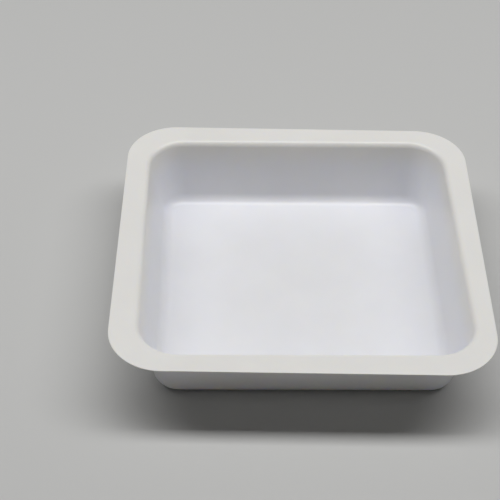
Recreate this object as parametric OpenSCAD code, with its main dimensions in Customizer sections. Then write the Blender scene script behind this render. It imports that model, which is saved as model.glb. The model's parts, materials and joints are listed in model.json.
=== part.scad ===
// Square weighing boat: a shallow dish formed in one piece from a thin sheet of white plastic.
//
// A flat rim surrounds a square body with leaning walls and a flat floor. Every section through
// a side is the same strip of sheet, of one thickness all the way: the floor, a bend up into a
// straight wall that leans outwards, and a bend over the rim's inner edge. The strip runs
// straight along the four sides and turns about the body's four corner axes.
//
// The dish stands on its floor at z = 0, centred on the z axis, with its sides along x and y.

/* [Rim] */
// Outside width of the square rim
rim_w = 140; // [110:1:180]
// Outside radius of the rim at each corner
rim_corner_r = 20; // [16:0.5:25]
// Width of the rim, from its cut edge to where the wall would meet it without a bend
rim_band = 9.2; // [7:0.1:12]

/* [Body] */
// Height from the table to the top of the rim
height = 27.5; // [18:0.5:30]
// Lean of the walls from upright, in degrees
draft = 10.5; // [6:0.5:13]
// Corner radius of the walls where they would meet the rim without a bend
body_corner_r = 14.5; // [12:0.5:18]

/* [Sheet and bends] */
// Thickness of the sheet
sheet = 0.4; // [0.3:0.05:0.6]
// Radius over the rim's inner edge, on the top face of the sheet
rim_bend_r = 2.6; // [1.5:0.1:3.5]
// Radius from the wall into the floor, on the top face of the sheet
floor_bend_r = 4.5; // [2:0.1:5.5]

/* [Hidden] */
$fn = 96;

// The wall crosses each bend by this much instead of only touching it, which keeps the joins clean
crossing = 0.0005;
// How far the cutting shapes run past what they cut
past = 1;

// From the middle of the dish to the corner axes of the rim and of the body
rim_axis = rim_w / 2 - rim_corner_r;
body_axis = rim_w / 2 - rim_band - body_corner_r;

// A bend of radius 1 between the wall and a level face starts this far from where they would meet
bend_reach = tan((90 - draft) / 2);

// Section, measured from the body's corner axis outwards: the floor is flat up to floor_flat,
// and the rim is flat from rim_flat
floor_flat = body_corner_r - (height - sheet) * tan(draft) - floor_bend_r * bend_reach;
rim_flat = body_corner_r + rim_bend_r * bend_reach;
floor_bend_z = sheet + floor_bend_r;
rim_bend_z = height - rim_bend_r;

// Everything on the outer side of the wall's inner face and its two bends, set back into the sheet by d
module behind_wall(d, reach) {
    difference() {
        union() {
            polygon([
                [floor_flat, sheet - d],
                [floor_flat, floor_bend_z],
                // foot and head of the straight wall
                [
                    floor_flat + (floor_bend_r + d - crossing) * cos(draft),
                    floor_bend_z - (floor_bend_r + d - crossing) * sin(draft)
                ],
                [
                    rim_flat - (rim_bend_r - d - crossing) * cos(draft),
                    rim_bend_z + (rim_bend_r - d - crossing) * sin(draft)
                ],
                [rim_flat, rim_bend_z],
                [rim_flat, height - d],
                [rim_flat + reach, height - d],
                [rim_flat + reach, -past - reach],
                [floor_flat, -past - reach],
            ]);
            translate([rim_flat, rim_bend_z]) circle(rim_bend_r - d);
        }
        translate([floor_flat, floor_bend_z]) circle(floor_bend_r + d);
    }
}

// The strip from the end of the flat floor to the start of the flat rim
module wall_strip() {
    difference() {
        behind_wall(0, 0);
        behind_wall(sheet, past);
        translate([rim_flat, -past]) square([2 * rim_bend_r, height + 2 * past]);
    }
}

// A shape drawn outwards from a corner axis, run along four sides and turned about four corners
module around(axis) {
    for (quarter = [0 : 3]) rotate(90 * quarter) {
        translate([-axis, -axis, 0])
            rotate([90, 0, 90])
                mirror([1, 0, 0])
                    linear_extrude(2 * axis) children();
        translate([axis, axis, 0]) rotate_extrude(angle = 90) children();
    }
}

// A flat square of sheet with round corners
module rounded_plate(axis, r, thick) {
    translate([-axis, -axis, 0]) cube([2 * axis, 2 * axis, thick]);
    around(axis) square([r, thick]);
}

module rim() {
    translate([0, 0, height - sheet])
        difference() {
            rounded_plate(rim_axis, rim_corner_r, sheet);
            translate([0, 0, -past]) rounded_plate(body_axis, rim_flat, sheet + 2 * past);
        }
}

module weighing_boat() {
    color([0.95, 0.95, 0.96])
    union() {
        rounded_plate(body_axis, floor_flat, sheet);
        around(body_axis) wall_strip();
        rim();
    }
}

weighing_boat();
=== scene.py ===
import json
import math

import bmesh
import bpy
import numpy as np
from mathutils import Matrix, Vector


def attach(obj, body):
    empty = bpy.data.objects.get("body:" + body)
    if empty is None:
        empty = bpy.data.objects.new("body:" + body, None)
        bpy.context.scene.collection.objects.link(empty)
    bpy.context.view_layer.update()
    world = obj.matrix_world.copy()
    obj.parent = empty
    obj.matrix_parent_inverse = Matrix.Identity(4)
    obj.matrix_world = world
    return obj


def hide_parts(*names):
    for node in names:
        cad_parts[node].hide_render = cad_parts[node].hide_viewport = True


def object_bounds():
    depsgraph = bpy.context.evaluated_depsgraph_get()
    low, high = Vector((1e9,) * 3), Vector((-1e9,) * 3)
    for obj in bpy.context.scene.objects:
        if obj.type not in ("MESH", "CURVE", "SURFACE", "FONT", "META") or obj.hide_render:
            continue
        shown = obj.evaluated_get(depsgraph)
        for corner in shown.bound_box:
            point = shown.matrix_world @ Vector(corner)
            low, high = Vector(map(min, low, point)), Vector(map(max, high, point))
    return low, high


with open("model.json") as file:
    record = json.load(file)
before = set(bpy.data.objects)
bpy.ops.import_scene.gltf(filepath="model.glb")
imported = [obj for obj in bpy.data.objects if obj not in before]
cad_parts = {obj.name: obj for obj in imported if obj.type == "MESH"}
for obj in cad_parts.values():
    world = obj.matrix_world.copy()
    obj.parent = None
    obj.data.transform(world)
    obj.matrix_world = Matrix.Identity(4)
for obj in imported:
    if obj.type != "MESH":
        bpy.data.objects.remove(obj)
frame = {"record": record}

cadLow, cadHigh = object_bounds()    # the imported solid's own box, before anything is added
print("frame loaded, box", [round(v, 4) for v in cadHigh - cadLow])


cameraPlan = {
    "aim": (-0.0192, -0.0068, 0.0275),    # level with the rim, a little left of and before its middle
    "distance": 0.5143,
    "azimuth": -0.665,                    # degrees; 0 looks along +Y
    "elevation": 42.34,                   # degrees above the table
    "roll": 1.335,                        # degrees that the camera leans to one side
    "lens": 96.7,                         # mm
    "sensor": 36,                         # mm, across
    "clip": (0.01, 50),                   # nearest and furthest that it sees
}


def placeCamera(plan):
    # back points from the aim to the camera: azimuth turns it about z, elevation lifts it
    turn, lift = math.radians(plan["azimuth"]), math.radians(plan["elevation"])
    back = Vector((math.sin(turn) * math.cos(lift), -math.cos(turn) * math.cos(lift), math.sin(lift)))
    level = Vector((math.cos(turn), math.sin(turn), 0))
    upright = back.cross(level)
    lean = math.radians(plan["roll"])
    right = level * math.cos(lean) + upright * math.sin(lean)
    up = back.cross(right)
    data = bpy.data.cameras.new("viewCamera")
    data.sensor_width = plan["sensor"]
    data.lens = plan["lens"]
    data.clip_start, data.clip_end = plan["clip"]
    camera = bpy.data.objects.new("viewCamera", data)
    bpy.context.scene.collection.objects.link(camera)
    turned = Matrix((right, up, back)).transposed().to_4x4()
    camera.matrix_world = Matrix.Translation(Vector(plan["aim"]) + back * plan["distance"]) @ turned
    bpy.context.scene.camera = camera


placeCamera(cameraPlan)
print("camera placed")


def gridFaces(rows, columns, closed, first=0):
    # quads between neighbouring points of a grid, whose points are numbered row by row
    here = np.arange(rows * columns).reshape(rows, columns) + first
    if closed:
        here = np.concatenate([here, here[:, :1]], axis=1)
    corners = [here[:-1, :-1], here[:-1, 1:], here[1:, 1:], here[1:, :-1]]
    return np.stack([corner.ravel() for corner in corners], axis=1)


def meshFromArrays(name, points, faces):
    mesh = bpy.data.meshes.new(name)
    mesh.from_pydata(points.tolist(), [], faces.tolist())
    mesh.update()
    piece = bpy.data.objects.new(name, mesh)
    bpy.context.scene.collection.objects.link(piece)
    return piece


def weld(piece, gap):
    # grids that meet share their edge points only after this; a face with no width left goes with them
    work = bmesh.new()
    work.from_mesh(piece.data)
    bmesh.ops.remove_doubles(work, verts=work.verts, dist=gap)
    bmesh.ops.dissolve_degenerate(work, dist=gap, edges=work.edges)
    bmesh.ops.recalc_face_normals(work, faces=work.faces)
    openEdges = sum(len(edge.link_faces) != 2 for edge in work.edges)
    print(piece.name, len(work.verts), "points,", len(work.faces), "faces,", openEdges, "open edges")
    work.to_mesh(piece.data)
    work.free()


def readPoints(mesh):
    points = np.empty(len(mesh.vertices) * 3)
    mesh.vertices.foreach_get("co", points)
    return points.reshape(-1, 3)


def writeValue(mesh, name, values):
    mesh.attributes.new(name, "FLOAT", "POINT").data.foreach_set("value", values.astype(np.float32))


def smoothStep(start, end, values):
    # 0 up to start, 1 from end on, and between them 3 t squared less 2 t cubed
    t = np.clip((values - start) / (end - start), 0, 1)
    return t * t * (3 - 2 * t)


dish = {
    "rimCorner": 0.0200,        # outside radius of the rim at a corner
    "rimBand": 0.0092,          # from the rim's cut edge to where the wall would meet it unbent
    "bodyCorner": 0.0145,       # corner radius of the walls on that line
    "draft": 12.0,              # degrees that the walls lean outwards
    "sheet": 0.0004,            # thickness of the plastic
    "rimBend": 0.0026,          # radius over the rim's inner edge
    "floorBend": 0.0045,        # radius from wall to floor
    "edgeRound": 0.0001,        # rounding left on the cut edge
    "sideSteps": 48,            # quads along a straight side
    "cornerSteps": 22,          # quads round a corner
    "bendSteps": 18,            # quads round a bend of the section
    "wallSteps": 14,            # up the straight wall
    "rimSteps": 10,             # across the flat rim
    "footSteps": 4,             # across the floor, from a corner axis to the bend
    "edgeSteps": 3,             # and round each small rounding of the cut edge
    "weldGap": 1e-6,            # points that are closer than this become one
    "bodyMiddle": (0.0008, -0.0001),    # the rim is trimmed a little off the middle of the body,
    "bodyTurn": 0.9,                    # a little askew, in degrees,
    "bodyShorter": 0.0005,              # and the body reaches that much less far to the front and back
}


def stretchOfCurve(start, end, steps):
    # evenly spaced values from start towards end, without the last
    return start + (end - start) * np.arange(steps) / steps


def faceProfile(plan, height, depth):
    # One face of the sheet, depth below the upper one, from the middle of the floor to the cut edge:
    # flat floor, an arc, a straight leaning wall, an arc and the flat rim. A row gives the share of the
    # way from the body's corner axis to the rim's, the distance outwards from there, and the height.
    lean = math.radians(plan["draft"])
    reach = math.tan((math.pi / 2 - lean) / 2)
    floorX = plan["bodyCorner"] - (height - plan["sheet"]) * math.tan(lean) - plan["floorBend"] * reach
    rimX = plan["bodyCorner"] + plan["rimBend"] * reach
    floorZ, rimZ = plan["sheet"] + plan["floorBend"], height - plan["rimBend"]
    lower, upper = plan["floorBend"] + depth, plan["rimBend"] - depth
    rise = stretchOfCurve(0, math.pi / 2 - lean, plan["bendSteps"])
    roll = stretchOfCurve(lean, math.pi / 2, plan["bendSteps"])
    foot = np.array([floorX + lower * math.cos(lean), floorZ - lower * math.sin(lean)])
    head = np.array([rimX - upper * math.cos(lean), rimZ + upper * math.sin(lean)])
    climb = stretchOfCurve(0, 1, plan["wallSteps"])
    onward = np.linspace(0, 1, plan["rimSteps"] + 1)
    edge = plan["rimCorner"] - plan["edgeRound"]
    out = np.concatenate([
        stretchOfCurve(0, floorX, plan["footSteps"]),
        floorX + lower * np.sin(rise),
        foot[0] + (head - foot)[0] * climb,
        rimX - upper * np.cos(roll),
        rimX + (edge - rimX) * onward,
    ])
    up = np.concatenate([
        np.full(plan["footSteps"], plan["sheet"] - depth),
        floorZ - lower * np.cos(rise),
        foot[1] + (head - foot)[1] * climb,
        rimZ + upper * np.sin(roll),
        np.full(onward.size, height - depth),
    ])
    share = np.concatenate([np.zeros(out.size - onward.size), onward])
    return np.stack([share, out, up], axis=1)


def sectionLoop(plan, height):
    # the upper face outwards, the cut edge with its two small roundings, and the lower face back
    small = plan["edgeRound"]
    turn = np.linspace(0, math.pi / 2, plan["edgeSteps"] + 1)[1:]
    flatEnd = plan["rimCorner"] - small
    base = height - plan["sheet"] + small
    one = np.ones(turn.size)
    top = np.stack([one, flatEnd + small * np.sin(turn), height - small + small * np.cos(turn)], axis=1)
    bottom = np.stack([one, flatEnd + small * np.cos(turn), base - small * np.sin(turn)], axis=1)
    first = np.array([[1, plan["rimCorner"], base]])
    lower = faceProfile(plan, height, plan["sheet"])
    return np.concatenate([faceProfile(plan, height, 0), top, first, bottom[:-1], lower[::-1]])


def squarePath(plan):
    # Once round a square from -1 to 1: along each side, then a quarter turn on the corner. The first
    # array has the places, and the second the directions outwards.
    side = np.stack([np.ones(plan["sideSteps"]), stretchOfCurve(-1, 1, plan["sideSteps"])], axis=1)
    turn = stretchOfCurve(0, math.pi / 2, plan["cornerSteps"])
    core = np.concatenate([side, np.ones((turn.size, 2))])
    heading = np.concatenate([np.zeros(plan["sideSteps"]), turn])
    quarters = np.arange(4)[:, None] * math.pi / 2
    cosine, sine = np.cos(quarters), np.sin(quarters)
    coreX = (cosine * core[:, 0] - sine * core[:, 1]).ravel()
    coreY = (sine * core[:, 0] + cosine * core[:, 1]).ravel()
    facing = (heading + quarters).ravel()
    return np.stack([coreX, coreY], axis=1), np.stack([np.cos(facing), np.sin(facing)], axis=1)


def buildDish(plan):
    width, height = cadHigh.x - cadLow.x, cadHigh.z - cadLow.z
    rimAxis = width / 2 - plan["rimCorner"]
    bodyAxis = width / 2 - plan["rimBand"] - plan["bodyCorner"] - np.array([0, plan["bodyShorter"]])
    middle, turn = np.array(plan["bodyMiddle"]), math.radians(plan["bodyTurn"])
    turned = np.array([[math.cos(turn), math.sin(turn)], [-math.sin(turn), math.cos(turn)]])
    section = sectionLoop(plan, height)
    core, outward = squarePath(plan)
    # the section carried along the path about the body's corner axes and again about the rim's, and
    # each point taken between the two by its share
    share, out, up = (section[:, None, k:k + 1] for k in range(3))
    body = (core * bodyAxis + out * outward) @ turned + middle
    flat = body * (1 - share) + (core * rimAxis + out * outward) * share
    walls = np.concatenate([flat, np.broadcast_to(up, flat.shape[:2] + (1,))], axis=2)
    # the floor is a square grid on each face, as finely divided as the sides
    across = np.linspace(-1, 1, plan["sideSteps"] + 1)
    floor = np.stack(np.meshgrid(across * bodyAxis[0], across * bodyAxis[1]), axis=2) @ turned + middle
    points = [walls.reshape(-1, 3)]
    faces = [gridFaces(*walls.shape[:2], True)]
    for z in (plan["sheet"], 0.0):
        faces.append(gridFaces(across.size, across.size, False, sum(len(rows) for rows in points)))
        face = np.concatenate([floor, np.full(floor.shape[:2] + (1,), z)], axis=2)
        points.append(face.reshape(-1, 3))
    piece = meshFromArrays("weighingBoat", np.concatenate(points), np.concatenate(faces))
    weld(piece, plan["weldGap"])
    piece.data.shade_smooth()
    return piece


boat = buildDish(dish)


polystyrene = {
    "colour": tuple(frame["record"]["materials"][0]["base_color"]),
    "rimWarmLightTint": (1.015, 1.0, 0.945),       # painted warm light on the rim, which keeps the stock sheet's thickness and painted cool light bounced inside the dish, where the drawn sheet is thinner
    "drawnTint": (0.993, 1.0, 1.028),     # and the drawn sheet is thinner and cooler
    "noiseSpan": (0.3, 0.7),              # the values that most of a noise lies between
    "cloud": 0.012,                       # share that the colour wanders by
    "cloudSize": 0.018,
    "cloudDetail": 3,                     # octaves of that noise
    "roughness": 0.34,
    "roughnessSpread": 0.04,
    "roughnessSize": 0.0153,
    "roughnessDetail": 2,
    "rimRoughness": 0.03,                 # added on the rim, which never touched the mould
    "edgeRoughness": 0.15,                # and on its cut edge
    "ior": 1.57,
    "grainSize": 0.0005,                  # metres from one speck of the fine grain to the next
    "grainDepth": 0.00002,
    "rippleSize": 0.009,                  # and from one slow ripple of the formed sheet to the next
    "rippleDepth": 0.00015,
    "reliefDetail": 1,                    # octaves of both
    "glow": 0.3,                          # share of the light that wanders inside the sheet
    "glowReach": (0.00048, 0.00042, 0.00030),
}


# the sheet's thinning, which also sets where cool bounced light is painted into the dish's colour
formingAndLightTint = {
    "down": (0.04, 0.45),         # share of the height, from the rim down, over which the sheet thins and the painted cool light comes in
    "aside": (0.0, 0.055),        # metres from the middle over which it thins, and is painted cooler, a little more
    "inCorner": (0.030, 0.052),   # and metres along both sides for the corners
    "floorShare": 0.55,           # how much of the full thinning and painted cool light each of them has
    "asideShare": 0.25,
    "cornerShare": 0.2,
    "edgeBand": 0.7,              # share of the small rounding that counts as the cut edge
}


def markDrawnAndCoolLight(piece, plan, rimCorner, edgeRound):
    # drawn and cool light: 0 on the rim, which stays as thick as the stock, up to 1 where the sheet is
    # thinned most and the painted cool light is strongest
    x, y, z = readPoints(piece.data).T
    rimAxis = cadHigh.x - rimCorner
    down = smoothStep(*plan["down"], 1 - z / cadHigh.z)
    aside = smoothStep(*plan["aside"], np.maximum(abs(x), abs(y)))
    inCorner = smoothStep(*plan["inCorner"], np.minimum(abs(x), abs(y)))
    thinnedAndCoolLight = plan["floorShare"] + plan["asideShare"] * aside + plan["cornerShare"] * inCorner
    # this mask makes the rim duller and also paints the inside of the dish cooler, as if lit by cool
    # bounced light
    writeValue(piece.data, "drawn", down * thinnedAndCoolLight)
    out = np.hypot(np.maximum(abs(x) - rimAxis, 0), np.maximum(abs(y) - rimAxis, 0))
    writeValue(piece.data, "cutEdge", out > rimCorner - plan["edgeBand"] * edgeRound)


def addNode(tree, kind, values, **options):
    # one node with its options set, its plain values written and its sockets linked
    node = tree.nodes.new(kind)
    for name, option in options.items():
        setattr(node, name, option)
    for name, value in values.items():
        if isinstance(value, bpy.types.NodeSocket):
            tree.links.new(value, node.inputs[name])
        else:
            node.inputs[name].default_value = value
    return node


def reckoned(tree, first, operation, second):
    # one operation on two values, each a plain number or another node's output
    node = addNode(tree, "ShaderNodeMath", {}, operation=operation)
    for socket, value in zip(node.inputs, (first, second)):
        if isinstance(value, bpy.types.NodeSocket):
            tree.links.new(value, socket)
        else:
            socket.default_value = value
    return node.outputs["Value"]


def whitePolystyrene(plan):
    material = bpy.data.materials.new("whitePolystyrene")
    material.use_nodes = True
    tree = material.node_tree
    shader = tree.nodes["Principled BSDF"]
    place = addNode(tree, "ShaderNodeTexCoord", {}).outputs["Object"]
    drawn = addNode(tree, "ShaderNodeAttribute", {}, attribute_name="drawn").outputs["Fac"]
    cutEdge = addNode(tree, "ShaderNodeAttribute", {}, attribute_name="cutEdge").outputs["Fac"]

    def noise(size, detail):
        values = {"Vector": place, "Scale": 1 / size, "Detail": detail}
        return addNode(tree, "ShaderNodeTexNoise", values).outputs["Fac"]

    def wandering(size, detail, middle, spread):
        # a slow noise, turned into values from middle - spread to middle + spread
        start, end = plan["noiseSpan"]
        values = {"Value": noise(size, detail), "From Min": start, "From Max": end}
        values |= {"To Min": middle - spread, "To Max": middle + spread}
        return addNode(tree, "ShaderNodeMapRange", values).outputs["Result"]

    # colour: painted warm light on the rim to painted cool light inside the dish, and a faint cloudiness
    # over both
    paintedLightTint = addNode(tree, "ShaderNodeMix", {"Factor": drawn}, data_type="RGBA")
    for socket, name in (("A", "rimWarmLightTint"), ("B", "drawnTint")):
        paintedLightTint.inputs[socket].default_value = (*(c * t for c, t in zip(plan["colour"], plan[name])), 1)
    cloud = wandering(plan["cloudSize"], plan["cloudDetail"], 1, plan["cloud"])
    clouded = {"Vector": paintedLightTint.outputs["Result"], "Scale": cloud}
    shade = addNode(tree, "ShaderNodeVectorMath", clouded, operation="SCALE")
    tree.links.new(shade.outputs["Vector"], shader.inputs["Base Color"])

    # roughness wanders slowly, and the rim and its cut edge are duller
    middle, spread = plan["roughness"], plan["roughnessSpread"]
    slow = wandering(plan["roughnessSize"], plan["roughnessDetail"], middle, spread)
    onRim = reckoned(tree, reckoned(tree, 1.0, "SUBTRACT", drawn), "MULTIPLY", plan["rimRoughness"])
    onEdge = reckoned(tree, cutEdge, "MULTIPLY", plan["edgeRoughness"])
    rough = reckoned(tree, reckoned(tree, slow, "ADD", onRim), "ADD", onEdge)
    tree.links.new(rough, shader.inputs["Roughness"])

    # relief: fine grain riding on slow ripples
    waves = {"Height": noise(plan["rippleSize"], plan["reliefDetail"]), "Distance": plan["rippleDepth"]}
    specks = {"Height": noise(plan["grainSize"], plan["reliefDetail"]), "Distance": plan["grainDepth"]}
    specks["Normal"] = addNode(tree, "ShaderNodeBump", waves).outputs["Normal"]
    grain = addNode(tree, "ShaderNodeBump", specks)
    tree.links.new(grain.outputs["Normal"], shader.inputs["Normal"])

    shader.inputs["IOR"].default_value = plan["ior"]
    shader.inputs["Subsurface Weight"].default_value = plan["glow"]
    shader.inputs["Subsurface Radius"].default_value = plan["glowReach"]
    shader.inputs["Subsurface Scale"].default_value = 1
    return material


markDrawnAndCoolLight(boat, formingAndLightTint, dish["rimCorner"], dish["edgeRound"])
boat.data.materials.append(whitePolystyrene(polystyrene))
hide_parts("weighing_boat")
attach(boat, "root")
print("dish made")


studio = {
    "tableSize": 8.0,                     # metres
    "backHeight": 1.5,                    # that its edges are turned up, as a backdrop
    "tableColour": (0.60, 0.60, 0.59),
    "tableRoughness": 0.8,
    "farFrom": (0.15, 0.6),               # metres from the middle over which the lamp's light gives way
    "farColour": (0.478, 0.478, 0.470),   # to an even tone, which is that of the table beside the dish
    "skyColour": (0.75, 0.75, 0.75),
    "skyStrength": 0.08,
    "lampPlace": (0.0, 0.16, 1.0),
    "lampAim": (0.0, 0.0, 0.0),
    "lampSize": (2.1, 0.25),              # metres along x, and across
    "lampPower": 12,                      # watts
}


def paleTable(plan):
    material = bpy.data.materials.new("paleTable")
    material.use_nodes = True
    tree = material.node_tree
    shader = tree.nodes["Principled BSDF"]
    shader.inputs["Base Color"].default_value = (*plan["tableColour"], 1)
    shader.inputs["Roughness"].default_value = plan["tableRoughness"]

    # further out the eye sees an even tone, straight or in a gloss, and scattered light doesn't
    place = addNode(tree, "ShaderNodeTexCoord", {}).outputs["Object"]
    away = addNode(tree, "ShaderNodeVectorMath", {"Vector": place}, operation="LENGTH").outputs["Value"]
    ray = addNode(tree, "ShaderNodeLightPath", {}).outputs
    seen = reckoned(tree, ray["Is Camera Ray"], "MAXIMUM", ray["Is Glossy Ray"])
    seen = reckoned(tree, seen, "MAXIMUM", ray["Is Transmission Ray"])
    start, end = plan["farFrom"]
    values = {"Value": away, "From Min": start, "From Max": end, "To Max": seen}
    far = addNode(tree, "ShaderNodeMapRange", values, interpolation_type="SMOOTHSTEP").outputs["Result"]
    tone = addNode(tree, "ShaderNodeEmission", {"Color": (*plan["farColour"], 1)})
    both = addNode(tree, "ShaderNodeMixShader", {"Fac": far})
    tree.links.new(shader.outputs["BSDF"], both.inputs[1])
    tree.links.new(tone.outputs["Emission"], both.inputs[2])
    tree.links.new(both.outputs["Shader"], tree.nodes["Material Output"].inputs["Surface"])
    return material


def layTable(plan):
    # a square under the dish, and a wall up from each of its far sides, all facing the dish
    square = np.array([[-1, -1], [1, -1], [1, 1], [-1, 1]]) * plan["tableSize"] / 2
    points = [np.column_stack([square, np.full(len(square), z)]) for z in (0, plan["backHeight"])]
    here = np.arange(len(square))
    after = np.roll(here, -1)
    walls = np.stack([after, here, here + len(square), after + len(square)], axis=1)
    table = meshFromArrays("table", np.concatenate(points), np.concatenate([here[None], walls]))
    table.data.materials.append(paleTable(plan))


def lightStudio(plan):
    world = bpy.data.worlds.new("softSky")
    world.use_nodes = True
    sky = world.node_tree.nodes["Background"]
    sky.inputs["Color"].default_value = (*plan["skyColour"], 1)
    sky.inputs["Strength"].default_value = plan["skyStrength"]
    bpy.context.scene.world = world
    data = bpy.data.lights.new("softbox", "AREA")
    data.shape = "RECTANGLE"
    data.size, data.size_y = plan["lampSize"]
    data.energy = plan["lampPower"]
    lamp = bpy.data.objects.new("softbox", data)
    bpy.context.scene.collection.objects.link(lamp)
    place = Vector(plan["lampPlace"])
    lamp.location = place
    lamp.rotation_euler = (Vector(plan["lampAim"]) - place).to_track_quat("-Z", "Y").to_euler()


layTable(studio)
lightStudio(studio)
bpy.context.scene.view_settings.view_transform = "Standard"
print("table and light set")
